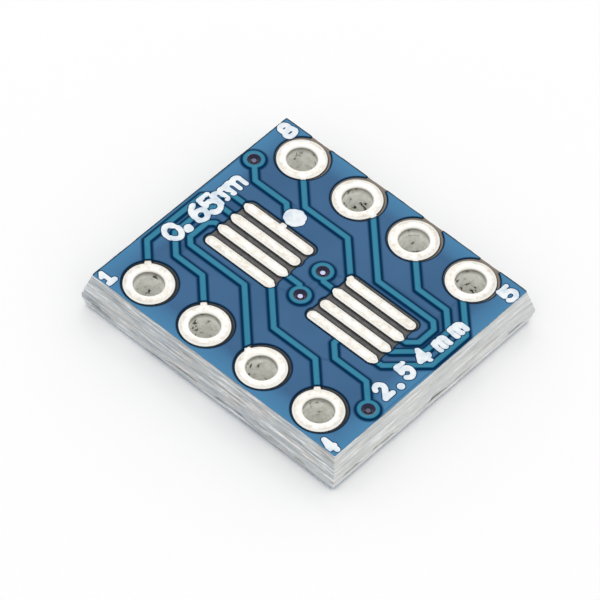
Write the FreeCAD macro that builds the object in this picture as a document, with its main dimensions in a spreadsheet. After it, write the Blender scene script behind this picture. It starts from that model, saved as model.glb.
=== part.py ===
import FreeCAD, Part
import os
import re
import Sketcher

# Adapter board, 11.4 x 10.2 x 1.66 mm, that joins two rows of four plated
# holes to a land pattern for a small eight-lead chip on each face.
# Frame: x runs from hole 1 to hole 4, y from the front row to the back row,
# z up; the origin is the middle of the hole pattern, on the underside.

os.makedirs("parts", exist_ok=True)
doc = FreeCAD.newDocument("adapter_board")
Vector = FreeCAD.Vector

# Driving sizes, mm and degrees
SIZES = [
    ("core_thickness", 1.5),
    ("upper_score_depth", 0.95),
    ("lower_score_depth", 0.43),
    ("score_angle", 15),
    ("hole_pitch", 2.54),
    ("row_spacing", 7.62),
    ("hole_margin", 1.28),
    ("lane_margin", 0.46),
    ("via_margin", 0.74),
    ("bore_radius", 0.525),
    ("ring_radius", 0.885),
    ("plating", 0.055),
    ("copper_thickness", 0.05),
    ("tin_thickness", 0.03),
    ("mask_thickness", 0.035),
    ("mask_film", 0.025),
    ("mask_shoulder", 0.05),
    ("mask_shift", 0.055),
    ("pad_opening", 0.07),
    ("ring_opening_radius", 0.96),
    ("flaked_width", 0.84),
    ("track_width", 0.25),
    ("fine_pitch", 0.65),
    ("fine_width", 0.4),
    ("fine_inner", 0.8),
    ("fine_outer", 3.8),
    ("wide_pitch", 1.27),
    ("wide_width", 0.6),
    ("wide_inner", 1.5),
    ("wide_outer", 3.8),
    ("via_radius", 0.28),
    ("via_plating", 0.03),
    ("via_land_radius", 0.41),
    ("via_sides", 12),
    ("window_sides", 24),
    ("dish_radius", 0.22),
    ("dish_depth", 0.08),
    ("edge_via_side", 1.15),
    ("edge_via_gap", 1.16),
    ("edge_via_drop", 1.16),
    ("inner_via_step", 0.13),
    ("left_inner_gap", 0.4),
    ("left_middle_gap", 0.49),
    ("left_outer_gap", 0.44),
    ("right_inner_gap", 0.5),
    ("right_middle_gap", 0.4),
    ("right_outer_gap", 0.54),
    ("row_lane", 2.3),
    ("inner_lane", 1.62),
    ("left_branch_lane", 1.98),
    ("right_branch_lane", 1.83),
    ("under_lane", 2.57),
    ("under_side_gap", 0.4),
    ("left_outer_corner", 0.74),
    ("left_branch_corner", 0.56),
    ("left_middle_corner", 0.71),
    ("left_middle_turn", 0.38),
    ("left_inner_turn", 0.2),
    ("inner_corner", 0.25),
    ("right_outer_corner", 1.17),
    ("right_branch_corner", 0.46),
    ("right_middle_corner", 0.66),
    ("right_middle_turn", 0.8),
    ("right_inner_turn", 0.3),
    ("under_corner", 0.4),
    ("hole_three_side", 0.58),
    ("hole_five_side", 0.22),
    ("hole_five_drop", 0.67),
    ("hole_seven_side", 0.68),
    ("pad_four_reach", 0.08),
    ("pad_eight_reach", 0.15),
    ("dot_radius", 0.385),
    ("dot_side", 0.05),
    ("dot_gap", 0.545),
    ("ink_thickness", 0.015),
]
sheet = doc.addObject("Spreadsheet::Sheet", "Sizes")
for row, (alias, value) in enumerate(SIZES, 1):
    sheet.set("A%d" % row, alias)
    sheet.set("B%d" % row, str(value))
    sheet.setAlias("B%d" % row, alias)
doc.recompute()
ALIASES = {alias for alias, value in SIZES}

# Places that follow from them: the lanes lie outside the pads, and the board's edge outside them all
FOLLOWING = {
    "left_lane_inner": "fine_outer + left_inner_gap",
    "left_lane_middle": "left_lane_inner + left_middle_gap",
    "left_lane_outer": "left_lane_middle + left_outer_gap",
    "right_lane_inner": "fine_outer + right_inner_gap",
    "right_lane_middle": "right_lane_inner + right_middle_gap",
    "right_lane_outer": "right_lane_middle + right_outer_gap",
    "under_side_lane": "wide_outer + under_side_gap",
    "edge_via_x": "max(1.5 * hole_pitch + edge_via_side; wide_outer + edge_via_gap)",
    "edge_via_y": "0.5 * row_spacing - edge_via_drop",
    "dot_x": "0.5 * (fine_inner + fine_outer) - dot_side",
    "dot_y": "1.5 * fine_pitch + 0.5 * fine_width + dot_gap",
    "board_length": "2 * max(left_lane_outer + lane_margin; right_lane_outer + lane_margin;"
                    " edge_via_x + via_margin; 1.5 * hole_pitch + hole_margin)",
    "board_width": "row_spacing + 2 * hole_margin",
}


def from_sheet(word):
    name = word.group()
    if name in FOLLOWING:
        return "(%s)" % bound(FOLLOWING[name])
    return "Sizes." + name if name in ALIASES else name


def bound(text):
    """Expression with each named size read from the sheet."""
    return re.sub(r"[a-z_]+", from_sheet, text)


# Levels, from the underside up; pads and rings stand a little higher than the mask over the tracks
RING_RISE = "(copper_thickness + tin_thickness)"
TRACK_RISE = "copper_thickness"
RIDGE_RISE = "(copper_thickness + mask_film)"
UNDERSIDE = "(0 * tin_thickness)"
CORE_FOOT = RING_RISE
CORE_TOP = "(%s + core_thickness)" % RING_RISE
BOARD_TOP = "(2 * %s + core_thickness)" % RING_RISE
WINDOW_RISE = "(2 * %s)" % RING_RISE

TOP = {"name": "top", "level": CORE_TOP, "direction": 1, "shift": "mask_shift", "score": "upper_score_depth",
       "pitch": "fine_pitch", "inner": "fine_inner", "outer": "fine_outer", "width": "fine_width"}
BOTTOM = {"name": "bottom", "level": CORE_FOOT, "direction": -1, "shift": "0 * mask_shift",
          "score": "lower_score_depth",
          "pitch": "wide_pitch", "inner": "wide_inner", "outer": "wide_outer", "width": "wide_width"}
SIDES = [TOP, BOTTOM]


def bind(thing, **values):
    for name, text in values.items():
        thing.setExpression(name.replace("__", "."), bound(text))
    return thing


def place(thing, x, y, z):
    for axis, text in zip("xyz", (x, y, z)):
        thing.setExpression("Placement.Base." + axis, bound(text))
    return thing


def cylinder(name, x, y, z, radius, height):
    disc = doc.addObject("Part::Cylinder", name)
    bind(disc, Radius=radius, Height=height)
    return place(disc, x, y, z)


def prism(name, x, y, z, radius, height, sides):
    """Upright bar with so many sides that it is round to about 0.01 mm, for small repeated rounds."""
    bar = doc.addObject("Part::Prism", name)
    bind(bar, Circumradius=radius, Height=height, Polygon=sides)
    return place(bar, x, y, z)


def box(name, x, y, z, length, width, height):
    block = doc.addObject("Part::Box", name)
    bind(block, Length=length, Width=width, Height=height)
    return place(block, x, y, z)


def disc_on(side, name, x, y, radius, height, sides=None):
    """Round layer that grows out of the core's face on the given side."""
    level = side["level"]
    if side["direction"] < 0:
        level = "(%s - %s)" % (level, height)
    if sides:
        return prism(name, x, y, level, radius, height, sides)
    return cylinder(name, x, y, level, radius, height)


def box_on(side, name, x, y, length, width, height):
    """Flat layer about a middle point on the core's face on the given side."""
    level = side["level"]
    if side["direction"] < 0:
        level = "(%s - %s)" % (level, height)
    return box(name, "%s - 0.5 * (%s)" % (x, length), "%s - 0.5 * (%s)" % (y, width), level,
               length, width, height)


def fuse(name, shapes):
    if len(shapes) == 1:
        return shapes[0]
    joined = doc.addObject("Part::MultiFuse", name)
    joined.Shapes = shapes
    joined.Refine = True
    return joined


def cut(name, base, tools):
    left = doc.addObject("Part::Cut", name)
    left.Base = base
    left.Tool = fuse(name + "_tools", tools)
    left.Refine = True
    return left


def common(name, first, second):
    shared = doc.addObject("Part::Common", name)
    shared.Base = first
    shared.Tool = second
    return shared


def centreline(name, side, points):
    """Centreline of a track on one face of the core, as a sketch where it has corners."""
    line = {"name": name, "side": side, "points": points}
    if len(points) == 2:
        return line
    sketch = doc.addObject("Sketcher::SketchObject", name)
    sketch.setExpression("Placement.Base.z", bound(side["level"]))
    corners = [Vector(float(sketch.evalExpression(bound(x))), float(sketch.evalExpression(bound(y))), 0)
               for x, y in points]
    for index, (start, end) in enumerate(zip(corners, corners[1:])):
        sketch.addGeometry(Part.LineSegment(start, end))
        if index:
            sketch.addConstraint(Sketcher.Constraint("Coincident", index - 1, 2, index, 1))
    for index, (texts, corner) in enumerate(zip(points, corners)):
        segment, end = (0, 1) if index == 0 else (index - 1, 2)
        for kind, text, value in zip(("DistanceX", "DistanceY"), texts, (corner.x, corner.y)):
            number = sketch.addConstraint(Sketcher.Constraint(kind, -1, 1, segment, end, value))
            sketch.setExpression("Constraints[%d]" % number, bound(text))
    line["sketch"] = sketch
    return line


def strip(line, height, shoulder="0 * mask_shoulder"):
    """Track of the given height along a centreline, wider by a shoulder on each side."""
    name, side = line["name"], line["side"]
    if "sketch" not in line:
        (start_x, y), (end_x, _) = line["points"]
        return box_on(side, name + "_strip", "0.5 * (%s + %s)" % (start_x, end_x), y,
                      "abs(%s - (%s))" % (end_x, start_x), "track_width + 2 * " + shoulder, height)
    outline = doc.addObject("Part::Offset2D", name + "_outline")
    outline.Source = line["sketch"]
    outline.Mode = "Pipe"
    outline.Join = "Tangent"
    outline.Fill = True
    bind(outline, Value="0.5 * track_width + " + shoulder)
    raised = doc.addObject("Part::Extrusion", name + "_strip")
    raised.Base = outline
    raised.DirMode = "Custom"
    raised.Dir = Vector(0, 0, side["direction"])
    raised.Solid = True
    return bind(raised, LengthFwd=height)


# Places of the holes, vias and pads of the eight nets
NETS = range(1, 9)
HOLES = {net: ("%g * hole_pitch" % (net - 2.5 if net < 5 else 6.5 - net),
               "%g * row_spacing" % (-0.5 if net < 5 else 0.5)) for net in NETS}
PAD_ROWS = {1: 1.5, 2: 0.5, 3: -0.5, 4: -1.5, 5: -1.5, 6: -0.5, 7: 0.5, 8: 1.5}
VIAS = {1: ("-edge_via_x", "edge_via_y"), 3: ("inner_via_step", "-0.5 * wide_pitch"),
        5: ("edge_via_x", "-edge_via_y"), 7: ("0 * wide_pitch", "0.5 * wide_pitch")}


HAND = {net: -1 if net < 5 else 1 for net in NETS}


def pad_middle(side, net):
    """Middle of a net's pad: left of the chip for nets 1 to 4, and right of it for 5 to 8."""
    return ("%g * (%s + %s)" % (0.5 * HAND[net], side["inner"], side["outer"]),
            "%g * %s" % (PAD_ROWS[net], side["pitch"]))


# Centrelines of the tracks on the top face
PAD_MIDDLE = "(0.5 * (fine_inner + fine_outer))"
PAD_ROOT = "(fine_outer - fine_width)"
TOP_TRACKS = {
    1: [[HOLES[1],
         ("-left_lane_outer", "-0.5 * row_spacing + left_lane_outer - 1.5 * hole_pitch"),
         ("-left_lane_outer", "1.5 * fine_pitch - left_outer_corner"),
         ("-left_lane_outer + left_outer_corner", "1.5 * fine_pitch"),
         ("-" + PAD_ROOT, "1.5 * fine_pitch")],
        [VIAS[1],
         ("-edge_via_x + edge_via_y - left_branch_lane", "left_branch_lane"),
         ("-left_branch_corner - " + PAD_MIDDLE, "left_branch_lane"),
         ("-1 * " + PAD_MIDDLE, "left_branch_lane - left_branch_corner"),
         ("-1 * " + PAD_MIDDLE, "1.5 * fine_pitch")]],
    2: [[HOLES[2],
         ("-0.5 * hole_pitch - 0.5 * row_spacing + row_lane", "-row_lane"),
         ("-left_lane_middle + left_middle_corner", "-row_lane"),
         ("-left_lane_middle", "-row_lane + left_middle_corner"),
         ("-left_lane_middle", "0.5 * fine_pitch - left_middle_turn"),
         ("-left_lane_middle + left_middle_turn", "0.5 * fine_pitch"),
         ("-" + PAD_ROOT, "0.5 * fine_pitch")]],
    3: [[("0.5 * hole_pitch - hole_three_side", "-0.5 * row_spacing"),
         ("0.5 * hole_pitch - hole_three_side - 0.5 * row_spacing + inner_lane", "-inner_lane"),
         ("-left_lane_inner + inner_corner", "-inner_lane"),
         ("-left_lane_inner", "-inner_lane + inner_corner"),
         ("-left_lane_inner", "-0.5 * fine_pitch - left_inner_turn"),
         ("-left_lane_inner + left_inner_turn", "-0.5 * fine_pitch"),
         ("-" + PAD_ROOT, "-0.5 * fine_pitch")],
        [("-fine_inner - fine_width", "-0.5 * fine_pitch"),
         ("inner_via_step - 0.5 * wide_pitch + 0.5 * fine_pitch", "-0.5 * fine_pitch"),
         VIAS[3]]],
    4: [[HOLES[4],
         ("1.5 * hole_pitch - 0.5 * row_spacing + row_lane", "-row_lane"),
         ("-fine_inner - pad_four_reach + row_lane - 1.5 * fine_pitch", "-row_lane"),
         ("-fine_inner - pad_four_reach", "-1.5 * fine_pitch")]],
    5: [[("1.5 * hole_pitch + hole_five_side", "0.5 * row_spacing - hole_five_drop"),
         ("right_lane_outer",
          "1.5 * hole_pitch + hole_five_side + 0.5 * row_spacing - hole_five_drop - right_lane_outer"),
         ("right_lane_outer", "right_outer_corner - 1.5 * fine_pitch"),
         ("right_lane_outer - right_outer_corner", "-1.5 * fine_pitch"),
         (PAD_ROOT, "-1.5 * fine_pitch")],
        [VIAS[5],
         ("edge_via_x - edge_via_y + right_branch_lane", "-right_branch_lane"),
         ("right_branch_corner + " + PAD_MIDDLE, "-right_branch_lane"),
         (PAD_MIDDLE, "-right_branch_lane + right_branch_corner"),
         (PAD_MIDDLE, "-1.5 * fine_pitch")]],
    6: [[HOLES[6],
         ("0.5 * hole_pitch + 0.5 * row_spacing - row_lane", "row_lane"),
         ("right_lane_middle - right_middle_corner", "row_lane"),
         ("right_lane_middle", "row_lane - right_middle_corner"),
         ("right_lane_middle", "right_middle_turn - 0.5 * fine_pitch"),
         ("right_lane_middle - right_middle_turn", "-0.5 * fine_pitch"),
         (PAD_ROOT, "-0.5 * fine_pitch")]],
    7: [[("hole_seven_side - 0.5 * hole_pitch", "0.5 * row_spacing"),
         ("hole_seven_side - 0.5 * hole_pitch + 0.5 * row_spacing - inner_lane", "inner_lane"),
         ("right_lane_inner - inner_corner", "inner_lane"),
         ("right_lane_inner", "inner_lane - inner_corner"),
         ("right_lane_inner", "0.5 * fine_pitch + right_inner_turn"),
         ("right_lane_inner - right_inner_turn", "0.5 * fine_pitch"),
         (PAD_ROOT, "0.5 * fine_pitch")],
        [("fine_inner + fine_width", "0.5 * fine_pitch"),
         ("0.5 * wide_pitch - 0.5 * fine_pitch", "0.5 * fine_pitch"),
         VIAS[7]]],
    8: [[HOLES[8],
         ("-1.5 * hole_pitch + 0.5 * row_spacing - row_lane", "row_lane"),
         ("fine_inner + pad_eight_reach - row_lane + 1.5 * fine_pitch", "row_lane"),
         ("fine_inner + pad_eight_reach", "1.5 * fine_pitch")]],
}


def turned(points):
    """The same route after half a turn about z."""
    return [("-1 * (%s)" % x, "-1 * (%s)" % y) for x, y in points]


# Centrelines of the tracks on the underside, where the nets of a pair are half turns of each other
WIDE_ROOT = "(wide_outer - 0.5 * wide_width)"
FROM_VIA = [VIAS[1],
            ("-edge_via_x + edge_via_y - 1.5 * wide_pitch", "1.5 * wide_pitch"),
            ("-" + WIDE_ROOT, "1.5 * wide_pitch")]
FROM_NEAR_HOLE = [HOLES[2],
                  ("-0.5 * hole_pitch - 0.5 * row_spacing + under_lane", "-under_lane"),
                  ("-under_side_lane + under_corner", "-under_lane"),
                  ("-under_side_lane", "-under_lane + under_corner"),
                  ("-under_side_lane", "0.5 * wide_pitch - under_corner"),
                  ("-under_side_lane + under_corner", "0.5 * wide_pitch"),
                  ("-" + WIDE_ROOT, "0.5 * wide_pitch")]
FROM_FAR_HOLE = [HOLES[4],
                 ("1.5 * hole_pitch - 0.5 * row_spacing + under_lane", "-under_lane"),
                 ("-wide_inner + under_lane - 1.5 * wide_pitch", "-under_lane"),
                 ("-wide_inner", "-1.5 * wide_pitch"),
                 ("-wide_inner - 0.5 * wide_width", "-1.5 * wide_pitch")]
BOTTOM_TRACKS = {
    1: [FROM_VIA],
    2: [FROM_NEAR_HOLE],
    3: [[VIAS[3], ("-wide_inner - 0.5 * wide_width", "-0.5 * wide_pitch")]],
    4: [FROM_FAR_HOLE],
    5: [turned(FROM_VIA)],
    6: [turned(FROM_NEAR_HOLE)],
    7: [[VIAS[7], ("wide_inner + 0.5 * wide_width", "0.5 * wide_pitch")]],
    8: [turned(FROM_FAR_HOLE)],
}
TRACKS = {"top": TOP_TRACKS, "bottom": BOTTOM_TRACKS}

tracks = {}
for side in SIDES:
    for net in NETS:
        tracks[side["name"], net] = [centreline("%s_track_%d_%d" % (side["name"], net, number), side, points)
                                     for number, points in enumerate(TRACKS[side["name"]][net], 1)]
doc.recompute()

# Windows in the solder mask
ring_windows = {}
pad_windows = {}
for side in SIDES:
    for net in NETS:
        x, y = HOLES[net]
        name = "%s_ring_window_%d" % (side["name"], net)
        ring_windows[side["name"], net] = disc_on(side, name, x, y + " + " + side["shift"],
                                                  "ring_opening_radius", WINDOW_RISE, "window_sides")
for hand, label in ((-1, "left"), (1, "right")):
    window = box_on(TOP, label + "_pads_window",
                    "%g * (fine_inner + fine_outer)" % (0.5 * hand), "mask_shift",
                    "fine_outer - fine_inner + 2 * pad_opening",
                    "3 * fine_pitch + fine_width + 2 * pad_opening", WINDOW_RISE)
    pad_windows.update({("top", net): window for net in NETS if HAND[net] == hand})
for net in NETS:
    x, y = pad_middle(BOTTOM, net)
    pad_windows["bottom", net] = box_on(BOTTOM, "wide_pad_window_%d" % net, x, y,
                                        "wide_outer - wide_inner + 2 * pad_opening",
                                        "wide_width + 2 * pad_opening", WINDOW_RISE)
flakes = [box("flake_%d" % net, HOLES[net][0] + " - 0.5 * flaked_width", HOLES[net][1] + " + ring_radius",
              CORE_TOP, "flaked_width", "0.5 * board_width", WINDOW_RISE) for net in NETS if net > 4]

# Glass-epoxy core: a broken web between two scored flanks, with the drilled holes
nodes = []


def flank(side):
    """Scored part of the core, which leans in towards the face."""
    outline = doc.addObject("Part::Plane", side["name"] + "_flank_outline")
    bind(outline, Length="board_length", Width="board_width")
    place(outline, "-0.5 * board_length", "-0.5 * board_width",
          "%s - %d * %s" % (side["level"], side["direction"], side["score"]))
    leaning = doc.addObject("Part::Extrusion", side["name"] + "_flank")
    leaning.Base = outline
    leaning.DirMode = "Custom"
    leaning.Dir = Vector(0, 0, side["direction"])
    leaning.Solid = True
    return bind(leaning, LengthFwd=side["score"], TaperAngle="-score_angle")


web = box("web", "-0.5 * board_length", "-0.5 * board_width", CORE_FOOT + " + lower_score_depth",
          "board_length", "board_width", "core_thickness - upper_score_depth - lower_score_depth")
drills = [cylinder("drill_%d" % net, *HOLES[net], UNDERSIDE, "bore_radius + plating", BOARD_TOP)
          for net in NETS]
drills += [prism("via_drill_%d" % net, *VIAS[net], UNDERSIDE, "via_radius", BOARD_TOP, "via_sides")
           for net in VIAS]
nodes.append(cut("laminate_core", fuse("scored_board", [web, flank(TOP), flank(BOTTOM)]), drills))

# Plated holes: a barrel with a ring on each face, and the stub of track that the window bares
for net in NETS:
    x, y = HOLES[net]
    pieces = [cylinder("barrel_%d" % net, x, y, UNDERSIDE, "bore_radius + plating", BOARD_TOP)]
    for side in SIDES:
        ring = [disc_on(side, "%s_ring_%d" % (side["name"], net), x, y, "ring_radius", RING_RISE)]
        ring += [strip(line, RING_RISE) for line in tracks[side["name"], net]]
        pieces.append(common("%s_ring_in_window_%d" % (side["name"], net),
                             fuse("%s_ring_and_stub_%d" % (side["name"], net), ring),
                             ring_windows[side["name"], net]))
    bore = cylinder("bore_%d" % net, x, y, UNDERSIDE, "bore_radius", BOARD_TOP)
    nodes.append(cut("hole_%d_plating" % net, fuse("hole_%d_plating_body" % net, pieces), [bore]))

# Tinned pads, with the stubs of track that their window bares
for net in NETS:
    x, y = pad_middle(TOP, net)
    straight = "(fine_outer - fine_inner - fine_width)"
    pad = [box_on(TOP, "fine_pad_%d_middle" % net, x, y, straight, "fine_width", RING_RISE)]
    pad += [disc_on(TOP, "fine_pad_%d_end" % net, "%s + %g * %s" % (x, half, straight), y,
                    "0.5 * fine_width", RING_RISE) for half in (-0.5, 0.5)]
    pad += [strip(line, RING_RISE) for line in tracks["top", net]]
    nodes.append(common("fine_pad_%d" % net, fuse("fine_pad_%d_and_stub" % net, pad),
                        pad_windows["top", net]))
for net in NETS:
    x, y = pad_middle(BOTTOM, net)
    pad = [box_on(BOTTOM, "wide_pad_%d_body" % net, x, y, "wide_outer - wide_inner", "wide_width", RING_RISE)]
    pad += [strip(line, RING_RISE) for line in tracks["bottom", net]]
    nodes.append(common("wide_pad_%d" % net, fuse("wide_pad_%d_and_stub" % net, pad),
                        pad_windows["bottom", net]))

# Copper tracks of each net, with the plated via that joins the two faces
nets = {}
for net in NETS:
    copper = [strip(line, TRACK_RISE) for side in SIDES for line in tracks[side["name"], net]]
    tools = [windows[side["name"], net] for side in SIDES for windows in (ring_windows, pad_windows)]
    if net in VIAS:
        x, y = VIAS[net]
        copper.append(prism("via_barrel_%d" % net, x, y, CORE_FOOT, "via_radius", "core_thickness",
                            "via_sides"))
        copper.append(disc_on(TOP, "via_land_%d" % net, x, y, "via_land_radius", TRACK_RISE, "via_sides"))
        tools.append(prism("via_bore_%d" % net, x, y, CORE_FOOT, "via_radius - via_plating", BOARD_TOP,
                           "via_sides"))
    nets[net] = cut("net_%d_tracks" % net, fuse("net_%d" % net, copper), tools)
    nodes.append(nets[net])

# Solder mask on each face, raised over the tracks; the top one fills the vias and dishes there
masks = {}
for side in SIDES:
    name = side["name"]
    inset = "2 * tan(score_angle) * " + side["score"]
    coat = [box_on(side, name + "_mask_sheet", "(0 * board_length)", "(0 * board_width)",
                   "board_length - " + inset, "board_width - " + inset, "mask_thickness")]
    coat += [strip(line, RIDGE_RISE, "mask_shoulder") for net in NETS for line in tracks[name, net]]
    tools = [ring_windows[name, net] for net in NETS] + list(nets.values())
    if side is TOP:
        tools += [pad_windows["top", 1], pad_windows["top", 8]] + flakes
        for net, (x, y) in VIAS.items():
            coat.append(disc_on(TOP, "via_cover_%d" % net, x, y, "via_land_radius + mask_shoulder",
                                RIDGE_RISE, "via_sides"))
            coat.append(prism("via_plug_%d" % net, x, y, CORE_FOOT, "via_radius - via_plating",
                              "core_thickness", "via_sides"))
            tools.append(prism("via_dish_%d" % net, x, y, "%s + %s - dish_depth" % (CORE_TOP, RIDGE_RISE),
                               "dish_radius", "dish_depth", "via_sides"))
    else:
        tools += [pad_windows["bottom", net] for net in NETS]
    masks[name] = cut(name + "_solder_mask", fuse(name + "_coat", coat), tools)
    nodes.append(masks[name])

# Ink dot that marks pin 1
dot = disc_on(TOP, "dot", "-dot_x", "dot_y", "dot_radius", "(%s + ink_thickness)" % RIDGE_RISE)
nodes.append(cut("pin_one_dot", dot, [masks["top"], nets[1]]))

doc.recompute()

# Every object is checked, then each piece is written to its own file
for thing in doc.Objects:
    if "Invalid" in thing.State or "Error" in thing.State:
        raise RuntimeError("%s is %s" % (thing.Name, thing.State))
    if hasattr(thing, "Shape") and (thing.Shape.isNull() or not thing.Shape.isValid()):
        raise RuntimeError("%s has no valid shape" % thing.Name)
for node in nodes:
    if not node.Shape.Solids:
        raise RuntimeError("%s holds no solid" % node.Label)
    node.Shape.exportStep("parts/%s.step" % node.Label)
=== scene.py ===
import math

import bmesh
import bpy
import numpy as np
from mathutils import Matrix, Vector
from mathutils.geometry import delaunay_2d_cdt


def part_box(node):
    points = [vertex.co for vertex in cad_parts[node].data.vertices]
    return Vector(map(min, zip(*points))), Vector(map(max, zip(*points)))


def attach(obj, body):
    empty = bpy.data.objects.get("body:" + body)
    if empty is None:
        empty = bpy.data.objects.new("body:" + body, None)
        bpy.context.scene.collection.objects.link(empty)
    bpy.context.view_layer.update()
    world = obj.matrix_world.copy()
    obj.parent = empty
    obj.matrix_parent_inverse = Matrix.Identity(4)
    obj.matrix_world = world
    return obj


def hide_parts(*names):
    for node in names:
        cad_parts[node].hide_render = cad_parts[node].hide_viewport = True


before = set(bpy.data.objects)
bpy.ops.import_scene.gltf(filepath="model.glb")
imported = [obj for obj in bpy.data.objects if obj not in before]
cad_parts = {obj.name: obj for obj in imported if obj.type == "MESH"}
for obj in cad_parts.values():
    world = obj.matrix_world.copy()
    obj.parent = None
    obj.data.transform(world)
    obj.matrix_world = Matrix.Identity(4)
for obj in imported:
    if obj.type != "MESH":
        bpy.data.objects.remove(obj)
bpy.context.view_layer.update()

# The dressed adapter board. Sizes are in mm in the frame of the CAD model,
# and every mesh is scaled to metres when it is made.
MM = 0.001
ROOT = "root"

# Levels and outlines read from the frame
core_low, core_high = [np.array(corner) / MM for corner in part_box("laminate_core")]
CORE_FOOT, CORE_TOP = core_low[2], core_high[2]
HALF_LENGTH, HALF_WIDTH = core_high[0], core_high[1]
RIM_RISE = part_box("hole_1_plating")[1].z / MM - CORE_TOP

# Sizes shared with the solids
HOLE_PITCH = 2.54
ROW_SPACING = 7.62
BORE_RADIUS = 0.525
DRILL_RADIUS = 0.58
RING_RADIUS = 0.885
WINDOW_RADIUS = 0.96
WINDOW_SHIFT = 0.055
FLAKE_WIDTH = 0.84
TRACK_RADIUS = 0.125
UPPER_SCORE, LOWER_SCORE = 0.95, 0.43
SCORE_LEAN = math.tan(math.radians(15))
VIA_RADIUS = 0.28
LAND_RADIUS = 0.41
FINE_PITCH, FINE_RADIUS, FINE_INNER, FINE_OUTER = 0.65, 0.2, 0.8, 3.8
WIDE_PITCH, WIDE_HALF, WIDE_INNER, WIDE_OUTER = 1.27, 0.3, 1.5, 3.8
PAD_CLEARANCE = 0.07

NETS = range(1, 9)
HOLES = {net: np.array([(net - 2.5 if net < 5 else 6.5 - net) * HOLE_PITCH,
                        (-0.5 if net < 5 else 0.5) * ROW_SPACING]) for net in NETS}
HAND = {net: -1 if net < 5 else 1 for net in NETS}
PAD_ROWS = {1: 1.5, 2: 0.5, 3: -0.5, 4: -1.5, 5: -1.5, 6: -0.5, 7: 0.5, 8: 1.5}
VIA_X, VIA_Y, VIA_STEP, VIA_ROW = 4.96, 2.65, 0.13, 0.635
VIAS = {1: (-VIA_X, VIA_Y), 3: (VIA_STEP, -VIA_ROW), 5: (VIA_X, -VIA_Y), 7: (0.0, VIA_ROW)}


# Flat shapes, each with its distance from a point and its outline

def arc(centre, radius, start, end, count):
    turn = np.radians(np.linspace(start, end, count))
    return np.array(centre) + radius * np.stack([np.cos(turn), np.sin(turn)], 1)


class Bar:
    """Round-ended bar between two points, or a disc where they are one point."""

    def __init__(self, start, end, radius):
        self.start, self.end, self.radius = np.array(start, float), np.array(end, float), radius

    def gap(self, at):
        along = self.end - self.start
        share = np.clip((at - self.start) @ along / max(along @ along, 1e-12), 0, 1)
        return np.linalg.norm(at - self.start - share[:, None] * along, axis=1) - self.radius

    def outline(self, grow=0.0, count=12):
        radius = self.radius + grow
        along = self.end - self.start
        if np.allclose(along, 0):
            return arc(self.start, radius, 0, 360, 8 * count + 1)[:-1]
        heading = math.degrees(math.atan2(along[1], along[0]))
        return np.concatenate([arc(self.end, radius, heading - 90, heading + 90, count),
                               arc(self.start, radius, heading + 90, heading + 270, count)])


class Box:
    """Rectangle about a middle point."""

    def __init__(self, middle, half):
        self.middle, self.half = np.array(middle, float), np.array(half, float)

    def gap(self, at):
        over = np.abs(at - self.middle) - self.half
        return np.linalg.norm(np.maximum(over, 0), axis=1) + np.minimum(over.max(1), 0)

    def outline(self, grow=0.0, count=12):
        corners = np.array([(1, 1), (-1, 1), (-1, -1), (1, -1)])
        return self.middle + corners * (self.half + grow)


def disc(centre, radius):
    return Bar(centre, centre, radius)


def nearest(shapes, at):
    return np.min([shape.gap(at) for shape in shapes], axis=0)


def smooth(share):
    share = np.clip(share, 0, 1)
    return share * share * (3 - 2 * share)


def route(points, radius=TRACK_RADIUS):
    return [Bar(start, end, radius) for start, end in zip(points, points[1:])]


# Copper on the two faces, along the same centrelines as the solids
left_outer, left_middle, left_inner = 5.13, 4.69, 4.2
right_outer, right_middle, right_inner = 5.24, 4.7, 4.3
row_lane, inner_lane, left_branch, right_branch = 2.3, 1.62, 1.98, 1.83
under_lane, under_side, under_corner = 2.57, 4.2, 0.4
left_outer_corner, left_branch_corner, left_middle_corner = 0.74, 0.56, 0.71
left_middle_turn, left_inner_turn, inner_corner = 0.38, 0.2, 0.25
right_outer_corner, right_branch_corner, right_middle_corner = 1.17, 0.46, 0.66
right_middle_turn, right_inner_turn = 0.8, 0.3
hole_three_side, hole_seven_side, hole_five_side, hole_five_drop = 0.58, 0.68, 0.22, 0.67
pad_four_reach, pad_eight_reach = 0.08, 0.15
half_row, half_pitch, pin_four = ROW_SPACING / 2, HOLE_PITCH / 2, 1.5 * HOLE_PITCH
pad_outer, pad_inner = 1.5 * FINE_PITCH, 0.5 * FINE_PITCH
pad_middle = (FINE_INNER + FINE_OUTER) / 2
pad_root = FINE_OUTER - 2 * FINE_RADIUS
pad_tip = FINE_INNER + 2 * FINE_RADIUS
wide_root = WIDE_OUTER - WIDE_HALF
wide_far, wide_near = 1.5 * WIDE_PITCH, 0.5 * WIDE_PITCH

hole_three_track, hole_seven_track = half_pitch - hole_three_side, hole_seven_side - half_pitch
pad_four_track, pad_eight_track = -FINE_INNER - pad_four_reach, FINE_INNER + pad_eight_reach

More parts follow.
